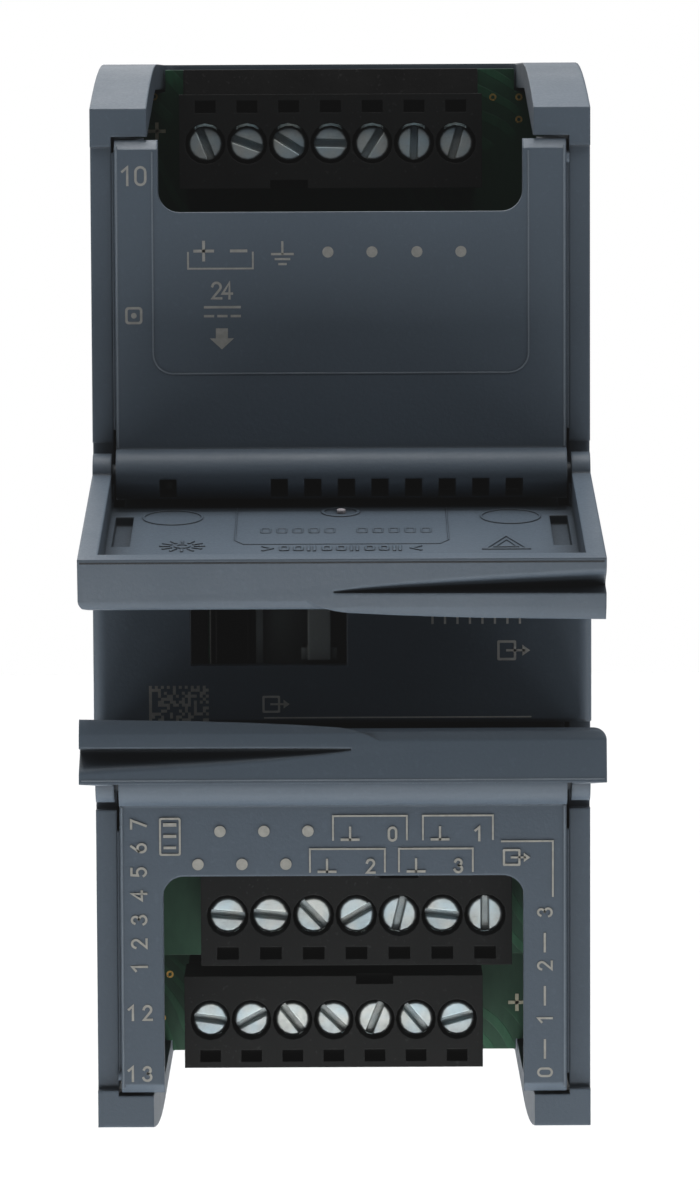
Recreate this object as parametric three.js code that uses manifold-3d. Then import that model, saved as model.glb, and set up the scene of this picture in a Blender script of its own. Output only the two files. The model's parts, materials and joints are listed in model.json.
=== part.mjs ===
// DIN-rail output module of a programmable controller: a moulded housing with two hinged terminal
// covers, three pull-off screw terminal blocks, a sliding bus connector and two rail clips.
//
// Frame: millimetres, +Z up, +X to the module's right as seen from the front, +Y towards the wall.
// The origin is the centre of the face that seats against the 35 mm mounting rail.
import * as THREE from "three";
import { mergeVertices } from "three/addons/utils/BufferGeometryUtils.js";
import Module from "manifold-3d";

const wasm = await Module();
wasm.setup();

// ---------------------------------------------------------------- driving dimensions
const WIDTH = 45;
const HEIGHT = 100;
const DEPTH = 75;
const WALL = 2;
const GAP = 0.3; // between pieces that are assembled together
const HALF_WIDTH = WIDTH / 2;
const TOP = HEIGHT / 2;
const BOTTOM = -HEIGHT / 2;

const RAIL_RECESS = 6; // depth of the rail channel in the back
const RAIL_CHANNEL_HALF = 17.8; // a 35 mm rail with 0.3 mm to spare on each side
const RAIL_PAD = { x: 20, z: 12, height: 0.5 }; // raised pad that the rail bears on
const RAIL_THICKNESS = 1;
const FRONT = RAIL_RECESS - DEPTH;
const BACK = RAIL_RECESS;
const behind = (depth) => FRONT + depth; // Y of a plane this far behind the front face

// Front cover: a raised centre block, two hinge bars and two recessed terminal panels.
const PANEL_DEPTH = 4.4;
const PANEL_HALF_WIDTH = 20.3;
const CENTRE_HALF_WIDTH = 22.4;
const PANEL_EDGE = 0.85; // chamfer along the outer end of each panel
const HINGE_DEPTH = 4.5;
const HINGE_Z = { upper: 13.05, lower: -14.85 };
const HINGE_BAR_RADIUS = 2.3;
const HINGE_LEDGE = 2.1; // hinge axis to the underside of the bar, towards the centre block
const RECESS_DEPTH = 8.4; // between each hinge bar and the centre block
const BLOCK_Z = [-9.1, 7.75];
const BLOCK_EDGE = 0.3;
const BLOCK_REAR = 12;
const PANEL_END_Z = { upper: 43.1, lower: -43.6 };
const OPENING_HALF_WIDTH = 16.4;
const OPENING_EDGE_Z = { upper: 36.6, lower: -23.6 };
const COVER_SKIRT_DEPTH = 24;
const SLOT_SIZE = [1.55, 1.65];
const SLOT_BORE = [1.35, 1.4]; // the narrower hole behind each slot
const SLOT_PITCH = 3.02;
const SLOT_COUNT = 8;
const FIRST_SLOT_X = -5.6;
const STATUS_SLOT_X = -15.6;
const LIGHT_GUIDE_TIP = 6; // how far behind the front each guide's tips stand
const SLOT_DROP = 1.15; // hinge axis to the slot centres, towards the centre block

// Housing side walls and cheeks.
const STRIP_DEPTH = 5.8; // side wall edges that the cover flanges close on
const CHEEK_DEPTH = 5.1;
const CHEEK_INNER_X = 17.4;
const CHEEK_FLAT_Z = { upper: [42.5, 45.9], lower: [-46.8, -43.4] };
const CHEEK_ARC_DEPTH = 36; // where the curved top runs level
const WIRE_OPENING_DEPTH = { upper: 57, lower: 64.6 };

// Hinged terminal covers, both the same moulding.
const COVER_LENGTH = 32.8; // hinge axis to the outside of the lip
const COVER_FACE = 4.3; // hinge axis to the outer face
const COVER_RIM_DEPTH = 4.7; // outer face to the rim of the flanges
const COVER_PLATE = 1.5;
const COVER_FLANGE = 1.7;
const COVER_LIP = 1.8;
const COVER_LIP_BACKING = { y: -0.7, thickness: 1.6 }; // below this height the lip is thicker inside
const COVER_FOOT = 1; // where the flanges start, from the hinge axis
const COVER_TAIL = { reach: -2.3, halfWidth: 19.6, edge: 0.5 }; // the plate runs on past the axis
const EAR_RADIUS = 1.9;
const COVER_POCKET = { x: [18.6, 20.2], z: [4.8, 15.6], depth: 0.8 };
const GRIP_RISE = 0.85;
const GRIP_FACET = { from: 0.45, to: -1, drop: 0.75 }; // the grip's sloping front edge
const SCOOP = { tip: -1.2, y: 1.75, slope: 2.2, ledge: 0.12, depth: 2.3 };
const PIVOT_RADIUS = 0.95;
const PIVOT_LENGTH = 1.6;
const OPEN_ANGLE = { upper: 99.4, lower: 97.4 };

// Pull-off terminal blocks: seven poles at a 4 mm pitch.
const POLES = 7;
const POLE_PITCH = 4;
const BLOCK_WIDTH = 29;
const BLOCK_WIRE_SIDE = 4.7; // screw axis to the face the wires enter
const BLOCK_PRY_SIDE = 4.3; // screw axis to the opposite face
const BLOCK_BODY = 7.9;
const BLOCK_NOSE = 6.3;
const SCREW_HOLE_RADIUS = 1.95;
const SCREW_RADIUS = 1.7;
const SCREW_FACE_RADIUS = 1.5;
const SCREW_SUNK = 0.7;
const SCREW_SLOT = [0.7, 0.8];
const HEADER_DEPTH = 8;
const BOARD = 1.6;
const BLOCK_TO_BOARD = 16.2; // front of a plugged-in block to its circuit board
const MAIN_BOARD_DEPTH = 54;
const OUTPUT_BOARD_DEPTH = 33;
// each block's screw row height, sideways offset, the depth of the board it plugs on to, and whether
// its wires leave upwards
const BLOCKS = {
  x10: { z: 42.4, x: -0.9, board: MAIN_BOARD_DEPTH, up: true },
  x12: { z: -29.1, x: 1.2, board: OUTPUT_BOARD_DEPTH, up: false },
  x13: { z: -42.5, x: -1.0, board: MAIN_BOARD_DEPTH, up: false },
};
// how far each screw happens to be turned, in degrees from horizontal
const SCREW_TURNS = {
  x10: [112, 160, 148, 178, 58, 88, 74],
  x12: [175, 174, 134, 30, 76, 174, 90],
  x13: [172, 28, 128, 136, 68, 130, 15],
};

// Sliding bus connector.
const BUS_WINDOW = { x: [-13.6, 0.4], z: [-3.9, 4.3] };
const BUS_SOCKET = { depth: [12.4, 19.6], z: [-8, 8] };
const BUS_SOCKET_WALL = 1.1;

// Rail clips.
const CLIP_WIDTH = 15;
const CLIP_RIB_WIDTH = 18.4;
const CLIP_HOOK = 1.5; // how far a clip reaches into the rail channel
const CLIP_HOLE_RADIUS = 2.15;

// ---------------------------------------------------------------- materials
const finish = (color, roughness, metalness = 0) =>
  new THREE.MeshStandardMaterial({ color, roughness, metalness });
const MATERIALS = {
  housing: finish(0x4a535d, 0.55),
  cover: finish(0x56606a, 0.5),
  terminal: finish(0x1e1e1f, 0.6),
  clip: finish(0x2b2e31, 0.6),
  steel: finish(0xc9d0d2, 0.3, 1),
  board: finish(0x1f5a3a, 0.45),
  connector: finish(0x151515, 0.55),
  lightGuide: finish(0xd8e0dc, 0.15),
  chip: finish(0x101112, 0.4),
  ferrite: finish(0x3a3a3c, 0.7),
  capacitor: finish(0x9aa0a6, 0.35, 0.8),
};

// ---------------------------------------------------------------- solids
// A closed geometry as a manifold-3d solid.
function solid(geometry) {
  const bare = geometry.index ? geometry.toNonIndexed() : geometry;
  const shape = new THREE.BufferGeometry();
  shape.setAttribute("position", bare.getAttribute("position"));
  const merged = mergeVertices(shape, 1e-4);
  return new wasm.Manifold(
    new wasm.Mesh({
      numProp: 3,
      vertProperties: new Float32Array(merged.attributes.position.array),
      triVerts: new Uint32Array(merged.index.array),
    }),
  );
}

function join(...solids) {
  return solids.reduce((all, next) => all.add(next));
}

function cut(body, ...tools) {
  return tools.reduce((left, tool) => left.subtract(tool), body);
}

// An axis-aligned box between two values on each axis.
function box([x0, x1], [y0, y1], [z0, z1]) {
  const geometry = new THREE.BoxGeometry(x1 - x0, y1 - y0, z1 - z0);
  geometry.translate((x0 + x1) / 2, (y0 + y1) / 2, (z0 + z1) / 2);
  return solid(geometry);
}

// A cylinder from one point along one axis ("x", "y" or "z").
function rod(radius, axis, [x, y, z], length, segments = 20) {
  const geometry = new THREE.CylinderGeometry(radius, radius, length, segments);
  geometry.translate(0, length / 2, 0);
  if (axis === "x") geometry.rotateZ(-Math.PI / 2);
  if (axis === "z") geometry.rotateX(Math.PI / 2);
  geometry.translate(x, y, z);
  return solid(geometry);
}

const outline = (points) => new THREE.Shape(points.map(([a, b]) => new THREE.Vector2(a, b)));

function extruded(shape, length, basis, curveSegments = 6) {
  const geometry = new THREE.ExtrudeGeometry(shape, {
    depth: length,
    bevelEnabled: false,
    curveSegments,
  });
  geometry.applyMatrix4(basis);
  return solid(geometry);
}

const axes = (x, y, z, origin) =>
  new THREE.Matrix4()
    .makeBasis(new THREE.Vector3(...x), new THREE.Vector3(...y), new THREE.Vector3(...z))
    .setPosition(...origin);

// A side profile, with points (Y, Z), extruded across X.
function acrossX(shape, [x0, x1]) {
  return extruded(shape, x1 - x0, axes([0, 1, 0], [0, 0, 1], [1, 0, 0], [x0, 0, 0]));
}

// A front outline, with points (X, Z), extruded through Y.
function throughY(shape, [y0, y1]) {
  return extruded(shape, y1 - y0, axes([1, 0, 0], [0, 0, 1], [0, -1, 0], [0, y1, 0]));
}

// A plan outline, with points (X, Y), extruded up Z.
function upZ(shape, [z0, z1]) {
  return extruded(shape, z1 - z0, axes([1, 0, 0], [0, 1, 0], [0, 0, 1], [0, 0, z0]));
}

function roundedRectangle([a0, a1], [b0, b1], r) {
  const shape = new THREE.Shape();
  shape.moveTo(a0 + r, b0);
  shape.lineTo(a1 - r, b0);
  shape.absarc(a1 - r, b0 + r, r, -Math.PI / 2, 0);
  shape.lineTo(a1, b1 - r);
  shape.absarc(a1 - r, b1 - r, r, 0, Math.PI / 2);
  shape.lineTo(a0 + r, b1);
  shape.absarc(a0 + r, b1 - r, r, Math.PI / 2, Math.PI);
  shape.lineTo(a0, b0 + r);
  shape.absarc(a0 + r, b0 + r, r, Math.PI, 1.5 * Math.PI);
  return shape;
}

const around = (centre, size) => [centre - size / 2, centre + size / 2];
const bothSides = (make) => join(make(-1), make(1));
const sideSpan = (side, inner, outer) => (side < 0 ? [-outer, -inner] : [inner, outer]);

// ---------------------------------------------------------------- scene graph
const module = new THREE.Group();

function node(name, body, material, parent = module) {
  const { vertProperties, triVerts, numProp } = body.getMesh();
  const geometry = new THREE.BufferGeometry();
  const position = new THREE.BufferAttribute(new Float32Array(vertProperties), numProp);
  geometry.setAttribute("position", position);
  geometry.setIndex(new THREE.BufferAttribute(new Uint32Array(triVerts), 1));
  geometry.computeVertexNormals();
  const mesh = new THREE.Mesh(geometry, material);
  mesh.name = name;
  parent.add(mesh);
  return mesh;
}

// ---------------------------------------------------------------- rear housing
// Side profile: flat cheeks at the front corners, then a long arc to the level top and bottom.
function housingProfile() {
  const cheek = behind(CHEEK_DEPTH);
  const strip = behind(STRIP_DEPTH);
  const pocket = behind(STRIP_DEPTH + 1.1);
  const level = behind(CHEEK_ARC_DEPTH);
  const [upperCrease, upperEnd] = CHEEK_FLAT_Z.upper;
  const [lowerEnd, lowerCrease] = CHEEK_FLAT_Z.lower;
  const earRoom = EAR_RADIUS + 0.9;
  const shape = new THREE.Shape();
  shape.moveTo(cheek, upperEnd);
  shape.lineTo(cheek, upperCrease);
  shape.lineTo(strip, upperCrease);
  for (const z of [HINGE_Z.upper, HINGE_Z.lower]) {
    shape.lineTo(strip, z + earRoom);
    shape.lineTo(pocket, z + earRoom);
    shape.lineTo(pocket, z - earRoom);
    shape.lineTo(strip, z - earRoom);
  }
  shape.lineTo(strip, lowerCrease);
  shape.lineTo(cheek, lowerCrease);
  shape.lineTo(cheek, lowerEnd);
  const bend = (level - cheek) * 0.45;
  shape.quadraticCurveTo(level - bend, BOTTOM, level, BOTTOM);
  shape.lineTo(BACK, BOTTOM);
  shape.lineTo(BACK, TOP);
  shape.lineTo(level, TOP);
  shape.quadraticCurveTo(level - bend, TOP, cheek, upperEnd);
  return shape;
}

function housingCavity() {
  const open = FRONT - 1;
  const back = behind(DEPTH - RAIL_RECESS - WALL);
  const upper = PANEL_END_Z.upper + GAP;
  const lower = PANEL_END_Z.lower - GAP;
  const roof = TOP - WALL - 0.4;
  return acrossX(
    outline([
      [open, lower],
      [behind(7), lower],
      [behind(30), -roof],
      [back, -roof],
      [back, roof],
      [behind(30), roof],
      [behind(7), upper],
      [open, upper],
    ]),
    [-PANEL_HALF_WIDTH - GAP, PANEL_HALF_WIDTH + GAP],
  );
}

// The openings at the top and bottom that the wires leave through.
function wireOpening(depth, z) {
  const rear = behind(depth);
  const shape = roundedRectangle([-CHEEK_INNER_X, CHEEK_INNER_X], [FRONT - 5, rear], 1.6);
  return upZ(shape, z);
}

function ventSlots(z) {
  const slots = [];
  for (let i = -4; i <= 4; i += 1) {
    slots.push(box(around(i * 3.6, 1.8), [behind(60.5), behind(66)], z));
  }
  return join(...slots);
}

// T-shaped groove on the back that a rail clip slides in.
function clipSection(width, ribWidth, clearance) {
  const floor = RAIL_THICKNESS + 0.4 - clearance;
  const rib = BACK - 2.4 + clearance;
  const w = width / 2 + clearance;
  const r = ribWidth / 2 + clearance;
  return outline([
    [-r, floor],
    [r, floor],
    [r, rib],
    [w, rib],
    [w, BACK - 0.4 + clearance * 4],
    [-w, BACK - 0.4 + clearance * 4],
    [-w, rib],
    [-r, rib],
  ]);
}

function rearHousing() {
  const shell = cut(acrossX(housingProfile(), [-HALF_WIDTH, HALF_WIDTH]), housingCavity());
  const channel = box(
    [-HALF_WIDTH - 1, HALF_WIDTH + 1],
    [-RAIL_PAD.height, BACK + 1],
    [-RAIL_CHANNEL_HALF, RAIL_CHANNEL_HALF],
  );
  const pad = box([-RAIL_PAD.x, RAIL_PAD.x], [-1, 0], [-RAIL_PAD.z, RAIL_PAD.z]);
  const grooves = upZ(clipSection(CLIP_WIDTH, CLIP_RIB_WIDTH, GAP), [BOTTOM - 1, TOP + 1]);
  const hollows = [];
  for (const side of [-1, 1]) {
    for (const [z0, z1] of [[21.5, TOP - 3.5], [BOTTOM + 3.5, -21.5]]) {
      hollows.push(box(sideSpan(side, 12, HALF_WIDTH - WALL), [0.5, BACK + 1], [z0, z1]));
    }
  }
  const busPlugWindow = box([-HALF_WIDTH - 1, -PANEL_HALF_WIDTH], ...busWindowSpan(0.5));
  const busSocketWindow = box([PANEL_HALF_WIDTH, HALF_WIDTH + 1], ...busWindowSpan(0.5));
  const latchWindows = bothSides((side) =>
    join(
      ...[-30, 30].map((z) =>
        box(sideSpan(side, 20, HALF_WIDTH + 1), [behind(18), behind(21)], around(z, 7)),
      ),
    ),
  );
  return cut(
    shell.subtract(channel).add(pad),
    grooves,
    ...hollows,
    wireOpening(WIRE_OPENING_DEPTH.upper, [TOP - 11, TOP + 1]),
    wireOpening(WIRE_OPENING_DEPTH.lower, [BOTTOM - 1, BOTTOM + 11]),
    ventSlots([TOP - 4, TOP + 1]),
    busPlugWindow,
    busSocketWindow,
    latchWindows,
  );
}

// The bus windows in the side walls, as a span of Y and of Z.
function busWindowSpan(clearance) {
  const [d0, d1] = BUS_SOCKET.depth;
  const [z0, z1] = BUS_SOCKET.z;
  return [
    [behind(d0 - clearance), behind(d1 + clearance)],
    [z0 - clearance, z1 + clearance],
  ];
}

// ---------------------------------------------------------------- front cover
// Outer side profile of the cover between the side walls, with its two hinge bars.
function coverProfile() {
  const panel = behind(PANEL_DEPTH);
  const web = behind(RECESS_DEPTH);
  const hinge = behind(HINGE_DEPTH);
  const rear = behind(COVER_SKIRT_DEPTH);
  const [blockBottom, blockTop] = BLOCK_Z;
  const shape = new THREE.Shape();
  shape.moveTo(rear, PANEL_END_Z.upper);
  shape.lineTo(panel + PANEL_EDGE, PANEL_END_Z.upper);
  shape.lineTo(panel, PANEL_END_Z.upper - PANEL_EDGE);
  shape.lineTo(panel, HINGE_Z.upper + HINGE_BAR_RADIUS);
  shape.absarc(hinge, HINGE_Z.upper, HINGE_BAR_RADIUS, Math.PI / 2, Math.PI * (5 / 3), false);
  shape.lineTo(web, HINGE_Z.upper - HINGE_LEDGE);
  shape.lineTo(web, blockTop);
  shape.lineTo(FRONT + BLOCK_EDGE, blockTop);
  shape.lineTo(FRONT, blockTop - BLOCK_EDGE);
  shape.lineTo(FRONT, blockBottom + BLOCK_EDGE);
  shape.lineTo(FRONT + BLOCK_EDGE, blockBottom);
  shape.lineTo(web, blockBottom);
  shape.lineTo(web, HINGE_Z.lower + HINGE_LEDGE);
  shape.absarc(hinge, HINGE_Z.lower, HINGE_BAR_RADIUS, Math.PI / 3, 1.5 * Math.PI, false);
  shape.lineTo(panel, PANEL_END_Z.lower + PANEL_EDGE);
  shape.lineTo(panel + PANEL_EDGE, PANEL_END_Z.lower);
  shape.lineTo(rear, PANEL_END_Z.lower);
  return shape;
}

// The inside of the cover, one wall thickness in from its profile.
function coverCavity() {
  const open = behind(COVER_SKIRT_DEPTH + 1);
  const panel = behind(PANEL_DEPTH + WALL);
  const web = behind(RECESS_DEPTH + WALL);
  const block = FRONT + WALL;
  const [blockBottom, blockTop] = BLOCK_Z;
  const end = TOP + 1;
  const step = HINGE_LEDGE - WALL;
  return acrossX(
    outline([
      [open, -end],
      [open, end],
      [panel, end],
      [panel, HINGE_Z.upper - step],
      [web, HINGE_Z.upper - step],
      [web, blockTop - WALL],
      [block, blockTop - WALL],
      [block, blockBottom + WALL],
      [web, blockBottom + WALL],
      [web, HINGE_Z.lower + step],
      [panel, HINGE_Z.lower + step],
      [panel, -end],
    ]),
    [-PANEL_HALF_WIDTH + WALL, PANEL_HALF_WIDTH - WALL],
  );
}

// The centre block is as wide as the module, with rounded upright edges.
function centreBlock() {
  const [bottom, top] = BLOCK_Z;
  const rear = behind(PANEL_DEPTH + 1);
  const profile = acrossX(
    outline([
      [rear, top],
      [FRONT + BLOCK_EDGE, top],
      [FRONT, top - BLOCK_EDGE],
      [FRONT, bottom + BLOCK_EDGE],
      [FRONT + BLOCK_EDGE, bottom],
      [rear, bottom],
    ]),
    [-CENTRE_HALF_WIDTH, CENTRE_HALF_WIDTH],
  );
  const x = [-CENTRE_HALF_WIDTH, CENTRE_HALF_WIDTH];
  const plan = upZ(roundedRectangle(x, [FRONT, behind(BLOCK_REAR)], 1.2), BLOCK_Z);
  return profile.intersect(plan);
}

// Square light slots through a hinge bar, each with a narrower hole behind it.
function barSlots(hinge, side) {
  const z = HINGE_Z[hinge] + side * SLOT_DROP;
  const places = [STATUS_SLOT_X];
  for (let i = 0; i < SLOT_COUNT; i += 1) places.push(FIRST_SLOT_X + i * SLOT_PITCH);
  const front = [FRONT, behind(HINGE_DEPTH)];
  const rear = [FRONT, behind(RECESS_DEPTH + WALL + 1)];
  return join(
    ...places.map((x) => box(around(x, SLOT_SIZE[0]), front, around(z, SLOT_SIZE[1]))),
    ...places.map((x) => box(around(x, SLOT_BORE[0]), rear, around(z, SLOT_BORE[1]))),
  );
}

function terminalOpening(from, to) {
  const x = [-OPENING_HALF_WIDTH, OPENING_HALF_WIDTH];
  return throughY(roundedRectangle(x, [from, to], 1.9), [FRONT, behind(COVER_SKIRT_DEPTH + 1)]);
}

function frontCover() {
  const x = [-PANEL_HALF_WIDTH, PANEL_HALF_WIDTH];
  const shell = cut(acrossX(coverProfile(), x).add(centreBlock()), coverCavity());
  const shelf = (z) =>
    box([-18.5, 18.5], [behind(6), behind(COVER_SKIRT_DEPTH)], [z, z + 1.5]);
  const pivots = bothSides((side) =>
    join(
      ...[HINGE_Z.upper, HINGE_Z.lower].map((z) =>
        rod(
          PIVOT_RADIUS + GAP,
          "x",
          [side < 0 ? -PANEL_HALF_WIDTH - 1 : PANEL_HALF_WIDTH - 1.8, behind(HINGE_DEPTH), z],
          2.8,
          16,
        ),
      ),
    ),
  );
  const latches = bothSides((side) =>
    join(
      ...[-30, 30].map((z) =>
        box(sideSpan(side, 19.5, 21.2), [behind(18.4), behind(20.6)], around(z, 6)),
      ),
    ),
  );
  // a small nub on one edge of each panel that the closed terminal cover snaps over
  const nubs = join(
    rod(0.45, "x", [PANEL_HALF_WIDTH - 0.5, behind(5), 41.4], 0.8, 12),
    rod(0.45, "x", [-PANEL_HALF_WIDTH - 0.3, behind(5), -42], 0.8, 12),
  );
  return cut(
    join(shell, shelf(32.9), shelf(-21.6), latches, nubs),
    terminalOpening(OPENING_EDGE_Z.upper, TOP + 5),
    terminalOpening(BOTTOM - 5, OPENING_EDGE_Z.lower),
    barSlots("upper", -1),
    barSlots("lower", 1),
    box(BUS_WINDOW.x, [FRONT - 1, behind(4)], BUS_WINDOW.z),
    box([-PANEL_HALF_WIDTH - 1, -17], ...busWindowSpan(0.5)),
    box([17, PANEL_HALF_WIDTH + 1], ...busWindowSpan(0.5)),
    pivots,
  );
}

// ---------------------------------------------------------------- terminal covers
// Built closed, with the hinge axis on X through the origin and the plate rising along +Z.
const coverHalf = HALF_WIDTH - 0.1;
const coverRim = COVER_RIM_DEPTH - COVER_FACE;

function terminalCover() {
  const outer = -COVER_FACE;
  const half = coverHalf;
  const tray = acrossX(
    outline([
      [outer, COVER_FOOT],
      [coverRim, COVER_FOOT],
      [coverRim, COVER_LENGTH],
      [outer + 1.1, COVER_LENGTH],
      [outer + 0.3, COVER_LENGTH - 0.4],
      [outer, COVER_LENGTH - 1.2],
    ]),
    [-half, half],
  ).intersect(
    upZ(roundedRectangle([-half, half], [outer, coverRim + 3], 1.1), [0, COVER_LENGTH + 1]),
  );
  const tail = acrossX(
    outline([
      [outer, COVER_FOOT + 1],
      [outer, COVER_TAIL.reach + COVER_TAIL.edge],
      [outer + COVER_TAIL.edge, COVER_TAIL.reach],
      [outer + COVER_PLATE, COVER_TAIL.reach],
      [outer + COVER_PLATE, COVER_FOOT + 1],
    ]),
    [-COVER_TAIL.halfWidth, COVER_TAIL.halfWidth],
  );
  const inside = box(
    [-half + COVER_FLANGE, half - COVER_FLANGE],
    [outer + COVER_PLATE, coverRim + 1],
    [COVER_TAIL.reach, COVER_LENGTH - COVER_LIP],
  );
  const lipInside = COVER_LENGTH - COVER_LIP;
  const backing = box(
    [-half + 1, half - 1],
    [outer + 1, COVER_LIP_BACKING.y],
    [lipInside - COVER_LIP_BACKING.thickness, lipInside + 0.1],
  );
  const ears = bothSides((side) => {
    const span = sideSpan(side, half - COVER_FLANGE, half);
    return rod(EAR_RADIUS, "x", [span[0], 0, 0], COVER_FLANGE, 20).add(
      box(span, [-EAR_RADIUS, coverRim], [0, COVER_FOOT + 0.5]),
    );
  });
  const pivots = bothSides((side) => {
    const span = sideSpan(side, half - COVER_FLANGE - PIVOT_LENGTH, half - COVER_FLANGE + 0.5);
    return rod(PIVOT_RADIUS, "x", [span[0], 0, 0], span[1] - span[0], 16);
  });
  const pocketY = [outer + COVER_PLATE - COVER_POCKET.depth, coverRim + 1];
  const pocket = bothSides((side) =>
    box(sideSpan(side, ...COVER_POCKET.x), pocketY, COVER_POCKET.z),
  );
  const hollow = cut(join(tray, tail, gripRib()), inside, pocket);
  return join(cut(hollow.add(backing), scoopTool()), ears, pivots);
}

// The outer edge of the lip stands a little proud along one half, as a finger grip.
function gripRib() {
  const half = coverHalf;
  const shape = new THREE.Shape();
  shape.moveTo(-3.2, -1.1);
  shape.quadraticCurveTo(-1.4, -0.1, 0.6, 0.1);
  shape.quadraticCurveTo(half * 0.4, GRIP_RISE * 0.85, half, GRIP_RISE);
  shape.lineTo(half, -1.1);
  const basis = axes([1, 0, 0], [0, -1, 0], [0, 0, -1], [0, -COVER_FACE, COVER_LENGTH]);
  const rib = extruded(shape, COVER_LIP + 0.1, basis, 10);
  const top = COVER_LENGTH + 1;
  const facet = acrossX(
    outline([
      [-COVER_FACE + GRIP_FACET.from, COVER_LENGTH],
      [-COVER_FACE + GRIP_FACET.from, top],
      [-COVER_FACE + GRIP_FACET.to, top],
      [-COVER_FACE + GRIP_FACET.to, COVER_LENGTH - GRIP_FACET.drop],
    ]),
    [-half, half + 1],
  );
  return rib.subtract(facet);
}

// Cutter for the scoop beside the grip. A section one unit deep runs along X, and at each station its
// slope, ledge and depth are scaled, so that the scoop grows from a point to its full size at the side.
function scoopTool() {
  const section = new THREE.Shape();
  section.moveTo(1, 0);
  section.bezierCurveTo(0.55, -0.1, 0.35, -1, 0, -1);
  section.lineTo(-1, 0);
  section.lineTo(-1, 1);
  section.lineTo(1, 1);
  const geometry = new THREE.ExtrudeGeometry(section, {
    depth: 1,
    steps: 16,
    bevelEnabled: false,
    curveSegments: 7,
  });
  const from = SCOOP.tip;
  const to = HALF_WIDTH + 1;
  const position = geometry.getAttribute("position");
  for (let i = 0; i < position.count; i += 1) {
    const along = Math.max(position.getZ(i), 0.02);
    const across = position.getX(i);
    const height = position.getY(i);
    const reach = across > 0 ? SCOOP.slope * along ** 0.6 : SCOOP.ledge * along ** 0.4;
    const depth = height < 0 ? SCOOP.depth * along ** 0.7 : 1;
    const y = -COVER_FACE + SCOOP.y + across * reach;
    position.setXYZ(i, from + along * (to - from), y, COVER_LENGTH + height * depth);
  }
  return solid(geometry);
}

function hinged(hinge) {
  const place = new THREE.Group();
  place.position.set(0, behind(HINGE_DEPTH), HINGE_Z[hinge]);
  if (hinge === "lower") place.rotation.y = Math.PI;
  const swing = new THREE.Group();
  swing.rotation.x = THREE.MathUtils.degToRad(OPEN_ANGLE[hinge]);
  place.add(swing);
  module.add(place);
  return swing;
}

// ---------------------------------------------------------------- terminal blocks
const poleX = (i) => (i - (POLES - 1) / 2) * POLE_PITCH;
const eachPole = (make) => join(...Array.from({ length: POLES }, (_, i) => make(poleX(i), i)));

// Built with wires leaving downwards; the screw row is at Z 0 and the front face at Y 0.
function terminalBlock() {
  const body = box(
    around(0, BLOCK_WIDTH),
    [0, BLOCK_BODY],
    [-BLOCK_WIRE_SIDE, BLOCK_PRY_SIDE],
  );
  const nose = box(around(0, 26.2), [BLOCK_BODY - 0.1, BLOCK_BODY + BLOCK_NOSE], [-3.2, 3.2]);
  const screwHoles = eachPole((x) => rod(SCREW_HOLE_RADIUS, "y", [x, -1, 0], 7.6, 16));
  const testSlots = eachPole((x) => box(around(x, 2), [-1, 1.6], [-4.1, -2.95]));
  const wireHoles = eachPole((x) => box(around(x, 2.6), [2.6, 5.4], [-6, 0]));
  const sockets = eachPole((x) => box(around(x, 1.6), [8.4, 20], around(-0.4, 1.6)));
  const pryNotch = box(around(poleX(4), 3.6), [-1, 1.4], [BLOCK_PRY_SIDE - 0.8, 9]);
  return cut(body.add(nose), screwHoles, testSlots, wireHoles, sockets, pryNotch);
}

// The header that stays on the board: an open tray round the block's nose, with a pin for each pole.
function header(wireSideReach) {
  const floor = BLOCK_TO_BOARD;
  const front = floor - HEADER_DEPTH;
  const tray = box(around(0, 28.6), [front, floor], [-wireSideReach, 4.4]);
  const hollow = box(around(0, 26.8), [front - 1, floor - 1.5], [-3.5, 3.5]);
  const pins = eachPole((x) => box(around(x, 0.9), [front + 1.2, floor - 1], around(-0.4, 0.9)));
  return cut(tray, hollow).add(pins);
}

// A slotted terminal screw on the Y axis, with its head at Y 0 and a clamp thread behind.
function terminalScrew() {
  const profile = [
    [0, 0],
    [SCREW_FACE_RADIUS, 0],
    [SCREW_RADIUS, 0.25],
    [SCREW_RADIUS, 1.6],
    [1.1, 1.7],
    [1.1, 5.2],
    [0, 5.2],
  ].map(([r, y]) => new THREE.Vector2(r, -y));
  const turned = new THREE.LatheGeometry(profile.reverse(), 16);
  turned.rotateX(Math.PI);
  const [width, depth] = SCREW_SLOT;
  return cut(solid(turned), box([-3, 3], [-1, depth], around(0, width)));
}

function addTerminal(name, { z, x, board, up }) {
  const place = new THREE.Group();
  place.position.set(x, behind(board - BLOCK_TO_BOARD), z);
  if (up) place.rotation.y = Math.PI;
  module.add(place);
  node(`terminal_block_${name}`, terminalBlock(), MATERIALS.terminal, place);
  const reach = name === "x10" ? 7.1 : 4.7;
  const seat = new THREE.Group();
  seat.position.y = -0.02;
  place.add(seat);
  node(`header_${name}`, header(reach), MATERIALS.connector, seat);
  for (let i = 0; i < POLES; i += 1) {
    const turn = new THREE.Group();
    turn.position.set(poleX(i), SCREW_SUNK, 0);
    const shown = up ? POLES - 1 - i : i;
    turn.rotation.y = -THREE.MathUtils.degToRad(SCREW_TURNS[name][shown]);
    place.add(turn);
    node(`screw_${name}_${shown + 1}`, terminalScrew(), MATERIALS.steel, turn);
  }
}

// ---------------------------------------------------------------- electronics
function mainBoard() {
  const y = [behind(MAIN_BOARD_DEPTH), behind(MAIN_BOARD_DEPTH + BOARD)];
  const plate = box([-20.2, 20.2], y, [-48.3, 49.5]);
  const shoulders = bothSides((side) =>
    join(
      box(sideSpan(side, 17.2, 21), [behind(53), behind(57)], [47.3, 50]),
      box(sideSpan(side, 17.2, 21), [behind(53), behind(57)], [-50, -47.3]),
    ),
  );
  return cut(plate, shoulders);
}

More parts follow.
